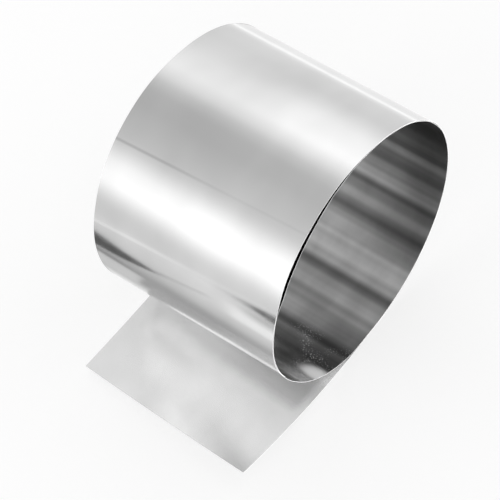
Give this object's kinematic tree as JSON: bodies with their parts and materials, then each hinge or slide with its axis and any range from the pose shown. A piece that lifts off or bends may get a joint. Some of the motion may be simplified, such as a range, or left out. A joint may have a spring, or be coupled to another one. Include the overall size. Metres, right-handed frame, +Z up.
{
  "type": "roll of stainless steel strip",
  "caption": "Thin stainless steel strip wound loosely about an open bore, its free end laid out along the floor as a slightly curled and twisted tail.",
  "frame": {"origin": "centre of the bore, half way across the strip's width", "axes": "+X along the axis of the roll, +Z up, and the tail runs out along -Y on the floor"},
  "size_m": [0.1524, 0.2491, 0.1989],
  "materials": {
    "stainless": "bright cold-rolled"
  },
  "bodies": {
    "root": {"steel_strip": "stainless"}
  },
  "joints": []
}
